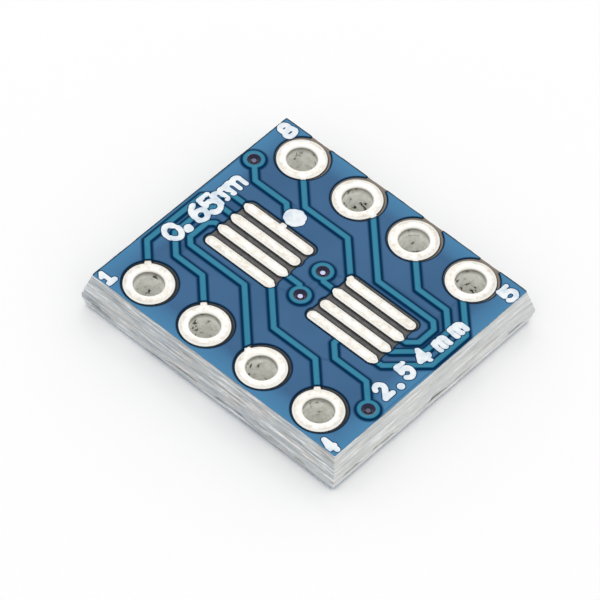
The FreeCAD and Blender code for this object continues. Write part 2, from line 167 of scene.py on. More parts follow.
TOP_ROUTES = {
    1: [[HOLES[1], (-left_outer, -half_row + left_outer - pin_four),
         (-left_outer, pad_outer - left_outer_corner), (-left_outer + left_outer_corner, pad_outer),
         (-pad_root, pad_outer)],
        [VIAS[1], (-VIA_X + VIA_Y - left_branch, left_branch),
         (-left_branch_corner - pad_middle, left_branch), (-pad_middle, left_branch - left_branch_corner),
         (-pad_middle, pad_outer)]],
    2: [[HOLES[2], (-half_pitch - half_row + row_lane, -row_lane),
         (-left_middle + left_middle_corner, -row_lane),
         (-left_middle, -row_lane + left_middle_corner), (-left_middle, pad_inner - left_middle_turn),
         (-left_middle + left_middle_turn, pad_inner), (-pad_root, pad_inner)]],
    3: [[(hole_three_track, -half_row), (hole_three_track - half_row + inner_lane, -inner_lane),
         (-left_inner + inner_corner, -inner_lane), (-left_inner, -inner_lane + inner_corner),
         (-left_inner, -pad_inner - left_inner_turn), (-left_inner + left_inner_turn, -pad_inner),
         (-pad_root, -pad_inner)],
        [(-pad_tip, -pad_inner), (VIA_STEP - wide_near + pad_inner, -pad_inner), VIAS[3]]],
    4: [[HOLES[4], (pin_four - half_row + row_lane, -row_lane),
         (pad_four_track + row_lane - pad_outer, -row_lane), (pad_four_track, -pad_outer)]],
    5: [[(pin_four + hole_five_side, half_row - hole_five_drop),
         (right_outer, pin_four + half_row - hole_five_drop + hole_five_side - right_outer),
         (right_outer, right_outer_corner - pad_outer), (right_outer - right_outer_corner, -pad_outer),
         (pad_root, -pad_outer)],
        [VIAS[5], (VIA_X - VIA_Y + right_branch, -right_branch),
         (right_branch_corner + pad_middle, -right_branch), (pad_middle, -right_branch + right_branch_corner),
         (pad_middle, -pad_outer)]],
    6: [[HOLES[6], (half_pitch + half_row - row_lane, row_lane),
         (right_middle - right_middle_corner, row_lane),
         (right_middle, row_lane - right_middle_corner), (right_middle, right_middle_turn - pad_inner),
         (right_middle - right_middle_turn, -pad_inner), (pad_root, -pad_inner)]],
    7: [[(hole_seven_track, half_row), (hole_seven_track + half_row - inner_lane, inner_lane),
         (right_inner - inner_corner, inner_lane), (right_inner, inner_lane - inner_corner),
         (right_inner, pad_inner + right_inner_turn), (right_inner - right_inner_turn, pad_inner),
         (pad_root, pad_inner)],
        [(pad_tip, pad_inner), (wide_near - pad_inner, pad_inner), VIAS[7]]],
    8: [[HOLES[8], (-pin_four + half_row - row_lane, row_lane),
         (pad_eight_track - row_lane + pad_outer, row_lane), (pad_eight_track, pad_outer)]],
}


def turned(points):
    """The same route after half a turn about z."""
    return [(-x, -y) for x, y in points]


from_via = [VIAS[1], (-VIA_X + VIA_Y - wide_far, wide_far), (-wide_root, wide_far)]
from_near_hole = [HOLES[2], (-half_pitch - half_row + under_lane, -under_lane),
                  (-under_side + under_corner, -under_lane), (-under_side, -under_lane + under_corner),
                  (-under_side, wide_near - under_corner), (-under_side + under_corner, wide_near),
                  (-wide_root, wide_near)]
from_far_hole = [HOLES[4], (pin_four - half_row + under_lane, -under_lane),
                 (-WIDE_INNER + under_lane - wide_far, -under_lane), (-WIDE_INNER, -wide_far),
                 (-WIDE_INNER - WIDE_HALF, -wide_far)]
BOTTOM_ROUTES = {
    1: [from_via],
    2: [from_near_hole],
    3: [[VIAS[3], (-WIDE_INNER - WIDE_HALF, -wide_near)]],
    4: [from_far_hole],
    5: [turned(from_via)],
    6: [turned(from_near_hole)],
    7: [[VIAS[7], (WIDE_INNER + WIDE_HALF, wide_near)]],
    8: [turned(from_far_hole)],
}


class Face:
    """One face of the board: its level, the way out of it, its copper and its windows."""

    def __init__(self, name, level, out, routes, shift):
        self.name, self.level, self.out, self.shift = name, level, out, np.array([0, shift])
        self.tracks = {net: [bar for points in routes[net] for bar in route(points)] for net in NETS}
        self.lands = [disc(VIAS[net], LAND_RADIUS if out > 0 else VIA_RADIUS) for net in VIAS]
        self.copper = [bar for net in NETS for bar in self.tracks[net]] + self.lands
        self.rings = {net: disc(HOLES[net] + self.shift, WINDOW_RADIUS) for net in NETS}
        self.pads = {net: self.pad(net) for net in NETS}
        self.windows = list(self.rings.values()) + self.pad_windows() + self.flakes()

    def pad(self, net):
        if self.out < 0:
            return Box((HAND[net] * (WIDE_INNER + WIDE_OUTER) / 2, PAD_ROWS[net] * WIDE_PITCH),
                       ((WIDE_OUTER - WIDE_INNER) / 2, WIDE_HALF))
        ends = [(HAND[net] * x, PAD_ROWS[net] * FINE_PITCH) for x in (FINE_INNER + FINE_RADIUS,
                                                                      FINE_OUTER - FINE_RADIUS)]
        return Bar(*ends, FINE_RADIUS)

    def pad_windows(self):
        """Openings round the pads; those of a fine row run together between the pads."""
        if self.out < 0:
            return [Box(pad.middle, pad.half + PAD_CLEARANCE) for pad in self.pads.values()]
        openings = [Bar(pad.start + self.shift, pad.end + self.shift, pad.radius + PAD_CLEARANCE)
                    for pad in self.pads.values()]
        return openings + [Box((hand * pad_middle, self.shift[1]), (pad_middle - FINE_INNER, pad_outer))
                           for hand in (-1, 1)]

    def flakes(self):
        """Mask that broke away between the back rings and the board's edge."""
        if self.out < 0:
            return []
        reach = HALF_WIDTH - half_row
        return [Box(HOLES[net] + (0, RING_RADIUS + reach / 2), (FLAKE_WIDTH / 2, reach / 2))
                for net in NETS if net > 4]

    def height(self, rise):
        return self.level + self.out * rise


TOP = Face("top", CORE_TOP, 1, TOP_ROUTES, WINDOW_SHIFT)
BOTTOM = Face("bottom", CORE_FOOT, -1, BOTTOM_ROUTES, 0.0)


# Meshes

def add_mesh(name, points, faces, attributes=None, sharp=35):
    mesh = bpy.data.meshes.new(name)
    mesh.from_pydata([tuple(point * MM) for point in points], [], [tuple(face) for face in faces])
    for key, values in (attributes or {}).items():
        mesh.attributes.new(key, "FLOAT", "POINT").data.foreach_set("value", np.asarray(values, np.float32))
    mesh.validate()
    mesh.polygons.foreach_set("use_smooth", [True] * len(mesh.polygons))
    mesh.set_sharp_from_angle(angle=math.radians(sharp))
    mesh.update()
    thing = bpy.data.objects.new(name, mesh)
    bpy.context.scene.collection.objects.link(thing)
    return thing


def triangulated(outlines, points):
    """Flat triangles that keep every outline as edges."""
    flat, edges = [], []
    for outline in outlines:
        first, count = len(flat), len(outline)
        flat += [Vector(point) for point in outline]
        edges += [(first + index, first + (index + 1) % count) for index in range(count)]
    flat += [Vector(point) for point in points]
    found, _, faces, *_ = delaunay_2d_cdt(flat, edges, [], 0, 1e-5, False)
    return np.array([tuple(point) for point in found]), np.array(faces)


def grid_points(low, high, step):
    x, y = [np.arange(a + step / 2, b, step) for a, b in zip(low, high)]
    return np.stack(np.meshgrid(x, y), -1).reshape(-1, 2)


def slab(name, face, outlines, points, gap, rise, foot=0.0, marks=None, sharp=35):
    """Closed layer on a face of the core, where gap is negative, with a top that rises by rise(at)."""
    flat, faces = triangulated(outlines, points)
    faces = faces[gap(flat[faces].mean(1)) < 0]
    used, faces = np.unique(faces, return_inverse=True)
    flat, faces = flat[used], faces.reshape(-1, 3)
    count = len(flat)
    upper = np.column_stack([flat, face.height(rise(flat))])
    lower = np.column_stack([flat, np.full(count, face.height(foot))])
    seen = {}
    for a, b, c in faces:
        for edge in ((a, b), (b, c), (c, a)):
            seen[edge] = True
    rim = [(a, b) for a, b in seen if (b, a) not in seen]
    walls = [(a + count, b + count, b, a) for a, b in rim]
    under = [(c + count, b + count, a + count) for a, b, c in faces]
    every = [tuple(face) for face in faces] + under + walls
    if face.out < 0:
        every = [tuple(reversed(face)) for face in every]
    values = {key: np.tile(mark(flat), 2) for key, mark in (marks or {}).items()}
    return add_mesh(name, np.concatenate([upper, lower]), every, values, sharp)


def lattice_noise(rng, u, v, cells_u, cells_v):
    """Smooth noise from -1 to 1 over u and v from 0 to 1; it closes on itself along u."""
    knots = rng.uniform(-1, 1, (cells_u, cells_v + 1))
    pu, pv = (u % 1) * cells_u, np.clip(v, 0, 1) * cells_v
    iu, iv = pu.astype(int) % cells_u, np.minimum(pv.astype(int), cells_v - 1)
    fu, fv = smooth(pu - np.floor(pu)), smooth(pv - iv)
    ju = (iu + 1) % cells_u
    low = knots[iu, iv] * (1 - fu) + knots[ju, iv] * fu
    high = knots[iu, iv + 1] * (1 - fu) + knots[ju, iv + 1] * fu
    return low * (1 - fv) + high * fv


# Materials
WHITE, BLACK = (1, 1, 1, 1), (0, 0, 0, 1)


def grey(level):
    return (level, level, level, 1)


def paint(red, green, blue):
    """Colour given as 0 to 255, as it looks on a screen."""
    values = [channel / 255 for channel in (red, green, blue)]
    return (*[v / 12.92 if v < 0.04045 else ((v + 0.055) / 1.055) ** 2.4 for v in values], 1)


class Finish:
    """A material with a Principled shader and the nodes that feed it."""

    def __init__(self, name, **constants):
        self.material = bpy.data.materials.new(name)
        self.material.use_nodes = True
        self.tree = self.material.node_tree
        self.shader = self.tree.nodes["Principled BSDF"]
        for socket, value in constants.items():
            self.shader.inputs[socket.replace("_", " ")].default_value = value

    def node(self, kind, links=None, **settings):
        made = self.tree.nodes.new(kind)
        for key, value in settings.items():
            setattr(made, key, value)
        for socket, value in (links or {}).items():
            if isinstance(value, bpy.types.NodeSocket):
                self.tree.links.new(value, made.inputs[socket])
            else:
                made.inputs[socket].default_value = value
        return made

    def mark(self, name, low, high):
        """A mesh attribute, spread from 0 to 1 between two values."""
        source = self.node("ShaderNodeAttribute", attribute_name=name)
        return self.node("ShaderNodeMapRange", {0: source.outputs["Fac"], 1: low, 2: high}).outputs[0]

    def noise(self, scale, detail=3.0, stretch=(1, 1, 1), rough=0.5):
        """Noise in the object's own space, scale in cells per mm."""
        place = self.node("ShaderNodeTexCoord").outputs["Object"]
        place = self.node("ShaderNodeMapping", {"Vector": place, "Scale": [s / MM for s in stretch]})
        return self.node("ShaderNodeTexNoise", {"Vector": place.outputs[0], "Scale": scale, "Detail": detail,
                                                "Roughness": rough}).outputs["Fac"]

    def ramp(self, source, *stops):
        made = self.node("ShaderNodeValToRGB", {0: source})
        while len(made.color_ramp.elements) < len(stops):
            made.color_ramp.elements.new(0.5)
        for element, (place, colour) in zip(made.color_ramp.elements, stops):
            element.position, element.color = place, colour
        return made.outputs[0]

    def near(self, name, low, high, full, none, most=WHITE):
        """White where a mesh attribute is small and black where it is large, with a soft step between."""
        return self.ramp(self.mark(name, low, high), (full, most), (none, BLACK))

    def mix(self, share, first, second):
        made = self.node("ShaderNodeMix", data_type="RGBA")
        for socket, value in ((0, share), (6, first), (7, second)):
            if isinstance(value, bpy.types.NodeSocket):
                self.tree.links.new(value, made.inputs[socket])
            else:
                made.inputs[socket].default_value = value
        return made.outputs[2]

    def feed(self, socket, source):
        self.tree.links.new(source, self.shader.inputs[socket])

    def bump(self, source, height, strength=1.0):
        """Relief whose full height is given in mm."""
        made = self.node("ShaderNodeBump", {"Height": source, "Distance": height * MM, "Strength": strength})
        self.feed("Normal", made.outputs[0])


def mask_finish():
    """Blue mask over a darker line at each step, where it slopes away from the light."""
    finish = Finish("solder_mask_blue", IOR=1.5)
    base = finish.ramp(finish.noise(0.5, 2.0), (0.3, paint(30, 87, 131)), (0.7, paint(42, 95, 140)))
    rim = finish.ramp(finish.mark("rim", 0.0, 0.9), (0.0, WHITE), (0.55, grey(0.6)), (1.0, BLACK))
    base = finish.mix(rim, base, paint(56, 126, 170))
    beside = finish.mark("copper", -0.12, 0.18)
    track = finish.ramp(beside, (0.0, paint(20, 128, 160)), (0.24, paint(12, 120, 152)),
                        (0.36, paint(1, 50, 84)), (0.54, paint(1, 46, 80)), (0.8, paint(22, 74, 118)))
    colour = finish.mix(finish.ramp(beside, (0.56, WHITE), (0.85, BLACK)), base, track)
    # painted shade: the mask is darkened next to its windows
    window = finish.near("window", 0.0, 0.1, 0.3, 0.75)
    colour = finish.mix(window, colour, paint(1, 38, 66))
    # painted shade: the mask is darkened along the board's left and back edges
    back = finish.near("back", 0.0, 0.1, 0.35, 0.7)
    colour = finish.mix(back, colour, paint(26, 48, 60))
    dish = finish.near("dish", -0.06, 0.06, 0.35, 0.65)
    finish.feed("Base Color", finish.mix(dish, colour, paint(2, 3, 34)))
    polish = finish.ramp(finish.mark("dish", -0.06, 0.06), (0.3, grey(0.1)), (0.7, grey(0.36)))
    finish.feed("Roughness", polish)
    flat, steep = grey(0.33), grey(0.02)
    gloss = finish.ramp(beside, (0.22, flat), (0.36, steep), (0.54, steep), (0.8, flat))
    gloss = finish.mix(window, gloss, steep)
    gloss = finish.mix(back, gloss, steep)
    finish.feed("Specular IOR Level", finish.mix(dish, gloss, WHITE))
    finish.feed("Specular Tint", finish.mix(dish, WHITE, (0.34, 0.34, 0.5, 1)))
    finish.bump(finish.noise(9.0, 3.0), 0.002, finish.mix(dish, WHITE, BLACK))
    return finish.material


def tin_finish():
    finish = Finish("levelled_tin", Metallic=1.0, Roughness=0.32)
    middle = finish.ramp(finish.noise(4.0, 5.0, rough=0.65), (0.32, paint(194, 187, 176)),
                         (0.5, paint(214, 210, 203)), (0.68, paint(231, 229, 226)))
    # painted highlight: the tin is lighter near its edges and at the lip of the bore
    edge = finish.near("inside", 0.0, 0.12, 0.35, 0.9)
    finish.feed("Base Color", finish.mix(edge, middle, paint(242, 240, 233)))
    finish.bump(finish.noise(7.0, 4.0), 0.008)
    return finish.material


def lining_finish():
    """Rough tin in the bores, made to glow a little: painted light that stands for the light that comes up
    through them from the table.
    """
    finish = Finish("hole_lining", Roughness=0.4, Emission_Strength=0.1)
    colour = finish.ramp(finish.noise(3.4, 4.0, rough=0.65), (0.37, paint(34, 32, 26)),
                         (0.42, paint(222, 222, 214)), (0.7, paint(254, 254, 250)))
    # painted shade: the lining is darker near both mouths of the bore
    lip = finish.near("inside", 1.0, 1.5, 0.1, 0.5, grey(0.8))
    colour = finish.mix(lip, colour, paint(98, 92, 82))
    finish.feed("Base Color", colour)
    # painted light: the lining glows in its own colour
    finish.feed("Emission Color", colour)
    finish.bump(finish.noise(8.0, 5.0), 0.02)
    return finish.material


def edge_finish():
    """Torn glass cloth: pale fibres in long streaks, stained here and there, with painted shade in the
    groove.
    """
    finish = Finish("broken_laminate", Roughness=0.7)
    streaks = finish.noise(1.3, 6.0, (0.5, 0.5, 8.0), rough=0.7)
    colour = finish.ramp(streaks, (0.34, paint(88, 91, 92)), (0.42, paint(156, 160, 162)),
                         (0.54, paint(190, 194, 195)), (0.64, paint(250, 251, 251)))
    stain = finish.ramp(finish.noise(1.6, 3.0, (0.7, 0.7, 2.5)), (0.36, paint(206, 196, 190)),
                        (0.46, paint(196, 200, 202)), (0.64, paint(176, 190, 204)))
    colour = finish.mix(0.25, colour, stain)
    # painted light: the broken edge is lighter where it faces +x
    colour = finish.mix(finish.mark("pale", 0.0, 1.0), colour, paint(236, 236, 231))
    # painted shade: the torn groove under the web is darkened
    groove = finish.ramp(finish.mark("groove", 0.0, 1.0), (0.2, BLACK), (0.7, grey(0.8)))
    finish.feed("Base Color", finish.mix(groove, colour, paint(64, 66, 64)))
    finish.bump(finish.noise(3.0, 6.0, (1.0, 1.0, 4.0)), 0.06)
    return finish.material


def bare_finish():
    """Etched laminate, darkened beside the tin as painted shade."""
    finish = Finish("bare_laminate", Roughness=0.6)
    ground = finish.ramp(finish.noise(5.0, 4.0), (0.3, paint(74, 74, 76)), (0.7, paint(104, 102, 100)))
    back = finish.ramp(finish.mark("flaked", 0.0, 1.0), (0.3, BLACK), (0.7, WHITE))
    ground = finish.mix(back, ground, paint(128, 117, 106))
    # painted shade: the ground is darkened beside the tin
    near = finish.near("tin", 0.0, 0.13, 0.25, 0.75)
    finish.feed("Base Color", finish.mix(near, ground, paint(8, 12, 18)))
    finish.bump(finish.noise(6.0, 3.0), 0.01)
    return finish.material


def ink_finish():
    """White ink with a thin dark rim round it: painted shade on the mask round the ink."""
    finish = Finish("legend_ink", Roughness=0.55)
    white = finish.ramp(finish.noise(3.0, 3.0), (0.32, paint(212, 226, 238)), (0.6, paint(244, 248, 250)))
    # painted shade: the rim round the ink is darkened to a deep blue
    ink_shade = finish.ramp(finish.mark("ink", -0.02, 0.03), (0.35, BLACK), (0.6, WHITE))
    finish.feed("Base Color", finish.mix(ink_shade, white, paint(4, 58, 98)))
    finish.feed("Specular IOR Level", finish.mix(ink_shade, grey(0.4), grey(0.03)))
    finish.bump(finish.noise(9.0, 3.0), 0.006)
    return finish.material


def copper_finish():
    finish = Finish("etched_copper", Metallic=1.0, Roughness=0.4)
    dull, bright = (0.72, 0.40, 0.26, 1), (0.82, 0.49, 0.33, 1)
    finish.feed("Base Color", finish.ramp(finish.noise(6.0, 3.0), (0.3, dull), (0.7, bright)))
    return finish.material


MASK, TIN, LINING, EDGE, BARE, INK, COPPER = (mask_finish(), tin_finish(), lining_finish(), edge_finish(),
                                              bare_finish(), ink_finish(), copper_finish())


def settle(piece, slot, *nodes):
    """Puts a finished piece on the body, in the place of its solids."""
    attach(piece, ROOT)
    if nodes:
        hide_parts(*nodes)
    return piece


# The board's outline: a snapped edge, a little wavy, with worn corners
CORNER_RADIUS = 0.05
EDGE_STEP = 0.045
WEB_DEPTH, WEB_REACH = 0.98, 0.16
GROOVE_DEPTH, GROOVE_REACH, GROOVE_CUT = 1.16, 0.055, 0.09
ROUGH_SEED, GROOVE_SEED = 7, 11
EDGE_LEVELS = 36
PAINTED_LIGHT_SIDE = 0.42
WELD_DISTANCE = 1e-4
CORE_SHARP = 50

# How fast the painted shade beside a ring gives way to bare ground, against that beside a pad
FRONT_RING_SHADE, BACK_RING_SHADE = 0.6, 2.2


def perimeter(inset=0.0):
    """Points round a rectangle with worn corners, set in from the widest part of the board."""
    widest = np.array([HALF_LENGTH, HALF_WIDTH]) - CORNER_RADIUS
    corners = [(1, 1, 0), (-1, 1, 90), (-1, -1, 180), (1, -1, 270)]
    points = []
    for index, (sx, sy, start) in enumerate(corners):
        nx, ny, _ = corners[(index + 1) % 4]
        steps = int(np.linalg.norm(widest * (nx - sx, ny - sy)) / EDGE_STEP)
        turn = CORNER_RADIUS * arc((0, 0), 1.0, start, start + 90, 7)
        here, there = (widest - inset) * (sx, sy) + turn[-1], (widest - inset) * (nx, ny) + turn[-1]
        points += list((widest - inset) * (sx, sy) + turn)
        points += [here + (there - here) * share for share in np.linspace(0, 1, steps)[1:-1]]
    return np.array(points)


def outward(loop):
    """The way out at each point of a loop that runs anticlockwise."""
    along = np.roll(loop, -1, 0) - np.roll(loop, 1, 0)
    return np.column_stack([along[:, 1], -along[:, 0]]) / np.linalg.norm(along, axis=1)[:, None]


RIM_POINTS = perimeter()
RIM_WAYS = outward(RIM_POINTS)
RIM_SHARE = np.cumsum(np.linalg.norm(RIM_POINTS - np.roll(RIM_POINTS, 1, 0), axis=1))
RIM_SHARE /= RIM_SHARE[-1] + EDGE_STEP


def groove_share(depth):
    """How much of the torn groove under the web is there, from 0 to 1."""
    rng = np.random.default_rng(GROOVE_SEED)
    broken = smooth((lattice_noise(rng, RIM_SHARE, RIM_SHARE * 0, 52, 1) + 0.25) / 0.4)
    level = GROOVE_DEPTH + 0.05 * lattice_noise(rng, RIM_SHARE, RIM_SHARE * 0, 30, 1)
    return broken * np.exp(-((depth - level) / GROOVE_REACH) ** 2)


def rim_loop(depth, more=0.0):
    """The edge at a depth below the core's top: scored, snapped and rough."""
    rng = np.random.default_rng(ROUGH_SEED)
    thickness = CORE_TOP - CORE_FOOT
    share = np.full_like(RIM_SHARE, depth / thickness)
    lean = max(UPPER_SCORE - depth, LOWER_SCORE - thickness + depth, 0) * SCORE_LEAN
    wave = 0.004 * (1 + lattice_noise(rng, RIM_SHARE, share * 0, 36, 1))
    streak = 0.008 * (1 + lattice_noise(rng, RIM_SHARE, share, 70, 26))
    grain = 0.006 * (1 + lattice_noise(rng, RIM_SHARE, share, 300, 40))
    torn = 0.014 * (1 + lattice_noise(rng, RIM_SHARE, share, 170, 14))
    bite = smooth((lattice_noise(rng, RIM_SHARE, share, 60, 7) - 0.25) / 0.4) * 0.06
    web = math.exp(-((depth - WEB_DEPTH) / WEB_REACH) ** 2)
    groove = GROOVE_CUT * groove_share(depth)
    rough = wave + streak + grain + (torn + bite) * web + groove
    return perimeter(lean + more) - RIM_WAYS * np.maximum(rough - 0.014, 0.002)[:, None]


def inside_loop(loop, at):
    """True where a point lies inside a closed loop."""
    x, y = at[:, 0][:, None], at[:, 1][:, None]
    ax, ay = loop[:, 0], loop[:, 1]
    bx, by = np.roll(ax, -1), np.roll(ay, -1)
    crosses = (ay > y) != (by > y)
    with np.errstate(divide="ignore", invalid="ignore"):
        where = (bx - ax) * (y - ay) / (by - ay) + ax
    return (crosses & (x < where)).sum(1) % 2 == 1


# Glass-epoxy core

def quads(rows, columns):
    """Faces of a tube of rows of points, each row a closed ring."""
    return [(row * columns + i, (row + 1) * columns + i, (row + 1) * columns + (i + 1) % columns,
             row * columns + (i + 1) % columns) for row in range(rows - 1) for i in range(columns)]


def shifted(faces, by):
    return [tuple(by + index for index in face) for face in faces]


def core_flat(side, loop, holes):
    """One face of the core, pierced, with the distance from the tin at each point."""
    pads = list(side.pads.values())
    rings = [disc(HOLES[net], RING_RADIUS) for net in NETS]
    residue = [shape.outline(grow) for shape in pads + rings for grow in (0, 0.03, 0.07, 0.12)]
    flat, faces = triangulated([loop] + [hole.outline() for hole in holes] + residue, [])
    middles = flat[faces].mean(1)
    faces = faces[inside_loop(loop, middles) & (nearest(holes, middles) > 0)]
    beside = np.min([nearest(pads, flat), FRONT_RING_SHADE * nearest(rings[:4], flat),
                     BACK_RING_SHADE * nearest(rings[4:], flat)], axis=0)
    points = np.column_stack([flat, np.full(len(flat), side.level)])
    return points, beside, [face if side.out > 0 else face[::-1] for face in faces]


def core_piece():
    depths = np.linspace(0, CORE_TOP - CORE_FOOT, EDGE_LEVELS)
    loops = [rim_loop(depth) for depth in depths]
    holes = [disc(HOLES[net], DRILL_RADIUS) for net in NETS] + [disc(VIAS[net], VIA_RADIUS) for net in VIAS]
    count = len(RIM_POINTS)
    points = [np.column_stack([loop, np.full(count, CORE_TOP - depth)]) for loop, depth in zip(loops, depths)]
    faces = quads(EDGE_LEVELS, count)
    size = count * EDGE_LEVELS
    beside = [np.ones(size)]
    for side, loop in ((TOP, loops[0]), (BOTTOM, loops[-1])):
        flat, tin, flats = core_flat(side, loop, holes)
        points.append(flat)
        beside.append(tin)
        faces += shifted(flats, size)
        size += len(flat)
    for hole in holes:
        ring = hole.outline()
        points += [np.column_stack([ring, np.full(len(ring), height)]) for height in (CORE_TOP, CORE_FOOT)]
        beside.append(np.ones(2 * len(ring)))
        faces += shifted(quads(2, len(ring)), size)
        size += 2 * len(ring)
    others = np.zeros(size - count * EDGE_LEVELS)
    points = np.concatenate(points)
    # painted light: share by which the broken edge is lighter where it faces +x
    pale = np.tile(PAINTED_LIGHT_SIDE * smooth(RIM_WAYS[:, 0] * 2 - 0.5), EDGE_LEVELS)
    marks = {"tin": np.concatenate(beside),
             "groove": np.concatenate([groove_share(depth) for depth in depths] + [others]),
             "pale": np.concatenate([pale, others]),
             "flaked": (points[:, 1] > half_row - RING_RADIUS) * 1.0}
    piece = add_mesh("core", points, faces, marks, CORE_SHARP)
    weld(piece)
    piece.data.materials.append(EDGE)
    piece.data.materials.append(BARE)
    for polygon in piece.data.polygons:
        off = min(abs(polygon.center.z / MM - level) for level in (CORE_TOP, CORE_FOOT))
        polygon.material_index = int(abs(polygon.normal.z) > 0.99 and off < 0.001)
    return settle(piece, "glass_epoxy", "laminate_core")


def weld(piece):
    """Joins the vertices that lie on each other."""
    work = bmesh.new()
    work.from_mesh(piece.data)
    bmesh.ops.remove_doubles(work, verts=work.verts, dist=WELD_DISTANCE * MM)
    bmesh.ops.recalc_face_normals(work, faces=work.faces)
    work.to_mesh(piece.data)
    work.free()
    piece.data.set_sharp_from_angle(angle=math.radians(CORE_SHARP))


# Solder mask
SHEET_RISE = 0.035
RIDGE_RISE = 0.075
DISH_RADIUS = 0.25
DISH_DEPTH = 0.1
UNDER_DISH_DEPTH = 0.015
TOP_MARGIN, UNDERSIDE_MARGIN = 0.004, 0.02
SHOULDER, SHOULDER_START = 0.085, 0.015
WINDOW_DROP, WINDOW_SOFT = 0.018, 0.05


def flat_of(face):
    """The flat that the score leaves of a face."""
    inset = (UPPER_SCORE if face.out > 0 else LOWER_SCORE) * SCORE_LEAN
    return Box((0, 0), (HALF_LENGTH - inset, HALF_WIDTH - inset))


def mask_rise(face, at):
    """Height of the mask: draped over the copper, rounded at its windows and dished in the vias."""
    over = smooth(1 - (nearest(face.copper, at) + SHOULDER_START) / SHOULDER)
    rise = SHEET_RISE + (RIDGE_RISE - SHEET_RISE) * over
    rise -= WINDOW_DROP * (1 - smooth(nearest(face.windows, at) / WINDOW_SOFT))
    middle = np.min([np.linalg.norm(at - np.array(VIAS[net]), axis=1) for net in VIAS], axis=0)
    depth = DISH_DEPTH if face.out > 0 else UNDER_DISH_DEPTH
    return rise - depth * smooth((1 - middle / DISH_RADIUS) / 0.94)


def mask_piece(face):
    margin = TOP_MARGIN if face.out > 0 else UNDERSIDE_MARGIN
    border = rim_loop(CORE_TOP - face.level, margin)
    outlines = [border]
    for window in face.windows:
        outlines += [window.outline(grow) for grow in (0, 0.025, 0.05, 0.085)]
    for bar in face.copper:
        outlines += [bar.outline(grow) for grow in (-0.045, -0.01, 0.025, 0.06, 0.1)]
    for net in VIAS:
        outlines += [disc(VIAS[net], share * DISH_RADIUS).outline() for share in (0.2, 0.45, 0.7, 0.9, 1.08)]
    points = grid_points((-HALF_LENGTH, -HALF_WIDTH), (HALF_LENGTH, HALF_WIDTH), 0.25)
    board = flat_of(face)
    outlines += [board.outline(-inward) for inward in (0.06, 0.1)]

    def gap(at):
        return np.where(inside_loop(border, at), -nearest(face.windows, at), 1.0)

    marks = {"copper": lambda at: nearest(face.copper, at), "rim": lambda at: -board.gap(at),
             "dish": lambda at: nearest([disc(VIAS[net], DISH_RADIUS) for net in VIAS], at),
             "window": lambda at: nearest(face.windows, at),
             "back": lambda at: np.minimum(at[:, 0] + board.half[0], board.half[1] - at[:, 1])}
    if face.out < 0:
        marks["dish"] = marks["back"] = lambda at: np.ones(len(at))
    piece = slab(face.name + "_mask", face, outlines, points, gap, lambda at: mask_rise(face, at),
                 marks=marks, sharp=40)
    piece.data.materials.append(MASK)
    return settle(piece, "solder_mask", face.name + "_solder_mask")


# Tinned holes and pads
CROWN_RISE = RIM_RISE - 0.001
EDGE_RISE = 0.045
CROWN_REACH = 0.13
LIP_RADIUS = 0.06
STUB_END = 0.1
TAPER_END = 0.11
AROUND, BARREL_LEVELS = 96, 34
TORN_WALL, TORN_GRAIN, TORN_MOST = 0.016, 0.009, 0.02


def crown(inside):
    """Height of the tin at a distance inside its edge."""
    share = np.clip(inside / CROWN_REACH, 0, 1)
    return EDGE_RISE + (CROWN_RISE - EDGE_RISE) * np.sqrt(1 - (1 - share) ** 2)


def stubs(face, net, windows):
    """Stretches of a net's track that its windows bare, as short bars with a round end at the border."""
    found = []
    for bar in face.tracks[net]:
        steps = np.linspace(0, 1, 200)[:, None]
        line = bar.start + steps * (bar.end - bar.start)
        line = line[nearest(windows, line) < 0]
        if len(line):
            room = np.linalg.norm(line[-1] - line[0])
            back = min(STUB_END / max(room, 1e-9), 0.5) * (line[-1] - line[0])
            at_border = nearest(windows, line[[0, -1]]) > -0.02
            found.append(Bar(line[0] + back * at_border[0], line[-1] - back * at_border[1], bar.radius))
    return found


def ring_side(face, net):
    """The tin of a ring and its stub on one face: points, distance inside its edge, and faces."""
    centre, window = HOLES[net], face.rings[net]
    bore = disc(centre, BORE_RADIUS)
    solids = [disc(centre, RING_RADIUS)]
    for bar in stubs(face, net, [window]):
        out = bar.end - bar.start
        solids.append(Bar(bar.end - out * min(STUB_END / np.linalg.norm(out), 1), bar.end, bar.radius))

    def inside(at):
        return np.minimum(-nearest(solids, at), -window.gap(at))

    outlines = [solid.outline(grow, 16) for solid in solids for grow in (0, -0.015, -0.04, -0.08, -0.13)
                if solid.radius + grow > 0.01]
    outlines += [window.outline()]
    outlines += [bore.outline(LIP_RADIUS * share) for share in (0, 0.06, 0.2, 0.45, 0.75, 1.0)]
    flat, flats = triangulated(outlines, [])
    middles = flat[flats].mean(1)
    flats = flats[(inside(middles) > 0) & (bore.gap(middles) > 0)]
    used, flats = np.unique(flats, return_inverse=True)
    flat, flats = flat[used], flats.reshape(-1, 3)
    count = len(flat)
    lip = np.clip(bore.gap(flat) / LIP_RADIUS, 0, 1)
    rise = crown(np.maximum(inside(flat), 0)) - LIP_RADIUS * (1 - np.sqrt(1 - (1 - lip) ** 2))
    points = np.concatenate([np.column_stack([flat, face.height(rise)]),
                             np.column_stack([flat, np.full(count, face.height(0))])])
    directed = {edge for a, b, c in flats for edge in ((a, b), (b, c), (c, a))}
    rim = [(a, b) for a, b in directed if (b, a) not in directed
           and np.linalg.norm((flat[a] + flat[b]) / 2 - centre) > (BORE_RADIUS + RING_RADIUS) / 2]
    faces = [tuple(corners) for corners in flats] + [(a + count, b + count, b, a) for a, b in rim]
    faces += [(c + count, b + count, a + count) for a, b, c in flats
              if np.linalg.norm(flat[[a, b, c]].mean(0) - centre) > DRILL_RADIUS]
    edge = np.tile(np.minimum(inside(flat), bore.gap(flat)), 2)
    return points, edge, [corners if face.out > 0 else corners[::-1] for corners in faces]


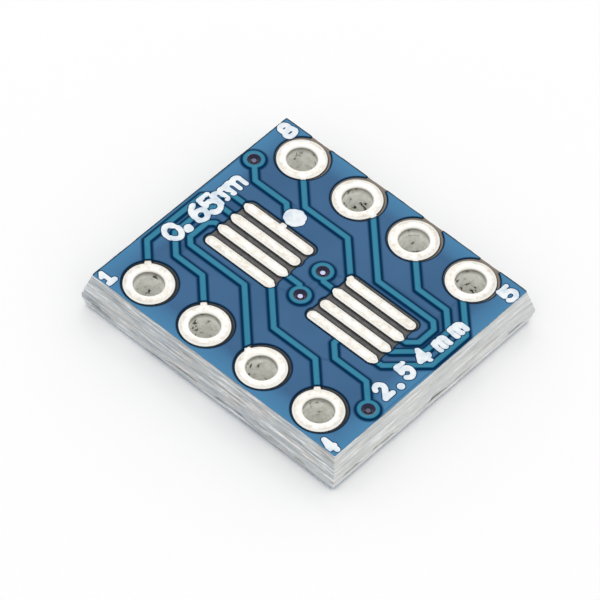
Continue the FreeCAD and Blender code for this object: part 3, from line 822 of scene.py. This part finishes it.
def barrel(net):
    """The lining of a bore, rough where the drill tore the glass: points and depth from its ends."""
    rng = np.random.default_rng(100 + net)
    end = CROWN_RISE - LIP_RADIUS
    levels = np.linspace(BOTTOM.height(end), TOP.height(end), BARREL_LEVELS)
    u, v = np.meshgrid(np.linspace(0, 1, AROUND, endpoint=False), np.linspace(0, 1, BARREL_LEVELS))
    rough = TORN_WALL * lattice_noise(rng, u, v, 22, 14) + TORN_GRAIN * lattice_noise(rng, u, v, 60, 40)
    rough *= smooth(v / 0.06) * smooth((1 - v) / 0.06)
    radius = BORE_RADIUS + np.minimum(rough, TORN_MOST)
    wall = np.stack([HOLES[net][0] + radius * np.cos(2 * math.pi * u),
                     HOLES[net][1] + radius * np.sin(2 * math.pi * u),
                     np.repeat(levels[:, None], AROUND, 1)], -1).reshape(-1, 3)
    return wall, np.minimum(levels[-1] - wall[:, 2], wall[:, 2] - levels[0])


def plated_hole(net):
    points, marks, faces, size = [], [], [], 0
    for face in (TOP, BOTTOM):
        part, edge, part_faces = ring_side(face, net)
        points.append(part)
        marks.append(edge)
        faces += shifted(part_faces, size)
        size += len(part)
    wall, depth = barrel(net)
    # each face of the lining starts a corner further back, which turns its diagonal
    lining = [(d, a, b, c) for a, b, c, d in shifted(quads(BARREL_LEVELS, AROUND), size)]
    marks = np.concatenate(marks + [1 + depth])
    piece = add_mesh("plating_piece_%d" % net, np.concatenate(points + [wall]), faces + lining,
                     {"inside": marks}, 60)
    piece.data.materials.append(TIN)
    piece.data.materials.append(LINING)
    piece.data.polygons.foreach_set("material_index", [0] * len(faces) + [1] * len(lining))
    return settle(piece, "tin", "hole_%d_plating" % net)


def tapered(pad, bar):
    """The end of a pad that narrows to the track that leaves along it."""
    middle = math.copysign(pad_middle, bar.end[0])
    tip = max((bar.start, bar.end), key=lambda end: abs(end[0] - middle))
    root = min((pad.start, pad.end), key=lambda end: np.linalg.norm(end - tip))
    return [disc(root + (tip - root) * share, pad.radius + (TAPER_END - pad.radius) * share)
            for share in np.linspace(0, 1, 7)[1:]]


def tinned_pad(face, net):
    kind = "fine" if face.out > 0 else "wide"
    pad, window = face.pads[net], face.windows[len(face.rings):]
    solids = [pad]
    for bar in stubs(face, net, window):
        along_pad = abs(bar.start[1] - bar.end[1]) < 1e-6
        solids += tapered(pad, bar) if kind == "fine" and along_pad else [bar]

    def inside(at):
        return np.minimum(-nearest(solids, at), -nearest(window, at))

    outlines = [solid.outline(grow, 16) for solid in solids for grow in (0, -0.015, -0.04, -0.08, -0.12)]
    outlines += [shape.outline() for shape in window]
    piece = slab("%s_pad_piece_%d" % (kind, net), face, outlines, [], lambda at: -inside(at),
                 lambda at: crown(np.maximum(inside(at), 0)), marks={"inside": inside})
    piece.data.materials.append(TIN)
    return settle(piece, "tin", "%s_pad_%d" % (kind, net))


# Legend: round strokes of ink, drawn in a box one unit wide and high
STROKE_RADIUS = 0.09
INK_RISE, INK_LIFT = 0.014, 0.001
# width of the painted shade round the ink
INK_SHADE_WIDTH = 0.04
INK_MARGIN = 0.035
POINT_GROWTH = 1.6


def bend(x, y, across, up, start, end, count=14):
    turn = np.radians(np.linspace(start, end, count))
    return [(x + across * math.cos(a), y + up * math.sin(a)) for a in turn]


GLYPHS = {
    "0": [bend(0.5, 0.5, 0.5, 0.5, 0, 360, 25)],
    "1": [[(0.1, 0.72), (0.55, 1.0), (0.55, 0.0)], [(0.1, 0.0), (1.0, 0.0)]],
    "2": [bend(0.5, 0.7, 0.45, 0.3, 165, -35) + [(0.05, 0.0), (1.0, 0.0)]],
    "4": [[(0.72, 0.0), (0.72, 1.0), (0.0, 0.32), (1.0, 0.32)]],
    "5": [[(0.95, 1.0), (0.12, 1.0), (0.08, 0.56)] + bend(0.45, 0.33, 0.5, 0.33, 118, -150)],
    "6": [bend(0.5, 0.3, 0.46, 0.3, 0, 360, 22), bend(0.86, 0.36, 0.82, 0.62, 98, 180)],
    "8": [bend(0.5, 0.75, 0.4, 0.25, 0, 360, 22), bend(0.5, 0.25, 0.5, 0.25, 0, 360, 22)],
    "m": [[(0.0, 0.0), (0.0, 1.0)], bend(0.25, 0.7, 0.25, 0.3, 180, 0) + [(0.5, 0.0)],
          bend(0.75, 0.7, 0.25, 0.3, 180, 0) + [(1.0, 0.0)]],
    ".": [[(0.5, 0.5), (0.5, 0.5)]],
}
# Each label is a list of glyphs, with the box of each: top and foot in x, start and end in y
LABELS = {
    "label_1": [("1", -5.36, -4.68, -4.84, -4.36)],
    "label_4": [("4", 4.65, 5.40, -4.83, -4.42)],
    "label_5": [("5", 4.70, 5.43, 3.99, 4.61)],
    "label_8": [("8", -5.40, -4.67, 4.12, 4.72)],
    "label_fine": [("0", -5.17, -4.33, -1.97, -1.28), (".", -4.50, -4.46, -1.15, -1.11),
                   ("6", -5.17, -4.27, -0.75, -0.08), ("5", -5.15, -4.2, -0.16, 0.52),
                   ("m", -4.97, -4.35, 0.36, 1.14), ("m", -4.97, -4.35, 1.0, 1.78)],
    "label_pins": [("2", 4.38, 5.15, -2.0, -1.45), (".", 5.06, 5.10, -1.18, -1.14),
                   ("5", 4.38, 5.15, -0.85, -0.3), ("4", 4.38, 5.15, -0.05, 0.55),
                   ("m", 4.6, 5.15, 0.8, 1.42), ("m", 4.6, 5.15, 1.62, 2.24)],
}


def ink_layer(name, shapes, outlines, points, gap, shoulder):
    """A layer of ink over flat shapes, with its rim of painted shade, laid on the top mask."""
    def rise(at):
        return mask_rise(TOP, at) + INK_LIFT + INK_RISE * smooth(0.2 - nearest(shapes, at) / shoulder)

    marks = {"ink": lambda at: nearest(shapes, at)}
    piece = slab(name, TOP, outlines, points, gap, rise, SHEET_RISE / 2, marks)
    piece.data.materials.append(INK)
    return piece


def label_piece(name):
    rng = np.random.default_rng(len(name) + sum(map(ord, name)))
    board = flat_of(TOP)
    bars = []
    for glyph, top, foot, start, end in LABELS[name]:
        top, foot = top + STROKE_RADIUS, foot - STROKE_RADIUS
        start, end = start + STROKE_RADIUS, end - STROKE_RADIUS
        for stroke in GLYPHS[glyph]:
            line = [(foot + (top - foot) * up, start + (end - start) * along) for along, up in stroke]
            for a, b in zip(line, line[1:]):
                width = STROKE_RADIUS * rng.uniform(0.88, 1.2) * (POINT_GROWTH if glyph == "." else 1)
                bars.append(Bar(a, b, width))

    def gap(at):
        return np.maximum(nearest(bars, at) - INK_SHADE_WIDTH, board.gap(at) + INK_MARGIN)

    outlines = [bar.outline(grow, 8) for bar in bars for grow in (INK_SHADE_WIDTH, 0.004, -0.004, -0.04)]
    outlines.append(board.outline(-INK_MARGIN))
    return settle(ink_layer(name, bars, outlines, [], gap, 0.04), "legend")


def dot_piece():
    rng = np.random.default_rng(5)
    low, high = [np.array(corner)[:2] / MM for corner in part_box("pin_one_dot")]
    middle, radius = (low + high) / 2, (high[0] - low[0]) / 2
    lumps = [disc(middle, radius * 0.98)]
    for turn in np.linspace(0, 2 * math.pi, 9)[:-1]:
        way = np.array([math.cos(turn), math.sin(turn)])
        lumps.append(disc(middle + radius * 0.55 * way, radius * rng.uniform(0.44, 0.53)))
    outlines = [lump.outline(grow) for lump in lumps for grow in (INK_SHADE_WIDTH, 0.004, -0.004, -0.04, -0.08)]
    layer = ink_layer("dot", lumps, outlines, grid_points(low, high, 0.1),
                      lambda at: nearest(lumps, at) - INK_SHADE_WIDTH, 0.05)
    return settle(layer, "legend", "pin_one_dot")


core_piece()
mask_piece(TOP)
mask_piece(BOTTOM)
for net in NETS:
    plated_hole(net)
    tinned_pad(TOP, net)
    tinned_pad(BOTTOM, net)
    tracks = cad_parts["net_%d_tracks" % net]
    tracks.data.materials.clear()
    tracks.data.materials.append(COPPER)
for name in LABELS:
    label_piece(name)
dot_piece()


# Floor, light and camera, in metres
FLOOR_HALF, FLOOR_DROP = 0.6, 2e-6
WORLD_LIGHT, WORLD_SEEN = 0.98, 1.0
# The key stands where the levelled tin and the floors of the vias mirror it into the camera
KEY_PLACE, KEY_SIZE, KEY_POWER = (-0.1056, 0.1327, 0.2101), 0.016, 0.016


def stage_floor():
    mesh = bpy.data.meshes.new("floor")
    corners = [(-1, -1), (1, -1), (1, 1), (-1, 1)]
    mesh.from_pydata([(x * FLOOR_HALF, y * FLOOR_HALF, -FLOOR_DROP) for x, y in corners], [], [(0, 1, 2, 3)])
    floor = bpy.data.objects.new("floor", mesh)
    bpy.context.scene.collection.objects.link(floor)
    finish = Finish("floor_white", Roughness=0.9)
    finish.shader.inputs["Base Color"].default_value = WHITE
    mesh.materials.append(finish.material)


def stage_world():
    world = bpy.data.worlds.new("studio")
    bpy.context.scene.world = world
    world.use_nodes = True
    tree = world.node_tree
    background = tree.nodes["Background"]
    background.inputs["Color"].default_value = WHITE
    path = tree.nodes.new("ShaderNodeLightPath")
    seen = tree.nodes.new("ShaderNodeMath")
    seen.operation = "MAXIMUM"
    tree.links.new(path.outputs["Is Camera Ray"], seen.inputs[0])
    tree.links.new(path.outputs["Is Glossy Ray"], seen.inputs[1])
    level = tree.nodes.new("ShaderNodeMapRange")
    tree.links.new(seen.outputs[0], level.inputs["Value"])
    level.inputs["To Min"].default_value = WORLD_LIGHT
    level.inputs["To Max"].default_value = WORLD_SEEN
    tree.links.new(level.outputs[0], background.inputs["Strength"])


def stage_lamp(name, place, size, power):
    lamp = bpy.data.lights.new(name, "AREA")
    lamp.shape = "DISK"
    lamp.size, lamp.energy = size, power
    thing = bpy.data.objects.new(name, lamp)
    thing.location = place
    thing.rotation_euler = (-Vector(place)).to_track_quat("-Z", "Y").to_euler()
    bpy.context.scene.collection.objects.link(thing)


def stage_camera():
    """Camera solved from the eight hole centres in the photo; mm, degrees, and pixels of a 600 px frame."""
    azimuth, elevation, roll = math.radians(-38.499), math.radians(51.110), math.radians(4.607)
    distance, focal, frame_size, sensor = 184.011, 5527.478, 600, 36.0
    target = Vector((0.277, -0.816, CORE_TOP + RIM_RISE))
    ahead = Vector((math.sin(azimuth) * math.cos(elevation), math.cos(azimuth) * math.cos(elevation),
                    -math.sin(elevation)))
    level = Vector((math.cos(azimuth), -math.sin(azimuth), 0))
    up = level.cross(ahead)
    right = math.cos(roll) * level + math.sin(roll) * up
    up = -math.sin(roll) * level + math.cos(roll) * up
    data = bpy.data.cameras.new("camera")
    data.sensor_width = sensor
    data.lens = focal / frame_size * sensor
    data.clip_start, data.clip_end = 0.01, 10
    camera = bpy.data.objects.new("camera", data)
    turn = Matrix((right, up, -ahead)).transposed().to_4x4()
    camera.matrix_world = Matrix.Translation((target - ahead * distance) * MM) @ turn
    bpy.context.scene.collection.objects.link(camera)
    bpy.context.scene.camera = camera


stage_floor()
stage_world()
stage_lamp("key", KEY_PLACE, KEY_SIZE, KEY_POWER)
stage_camera()
bpy.context.scene.view_settings.view_transform = "Standard"
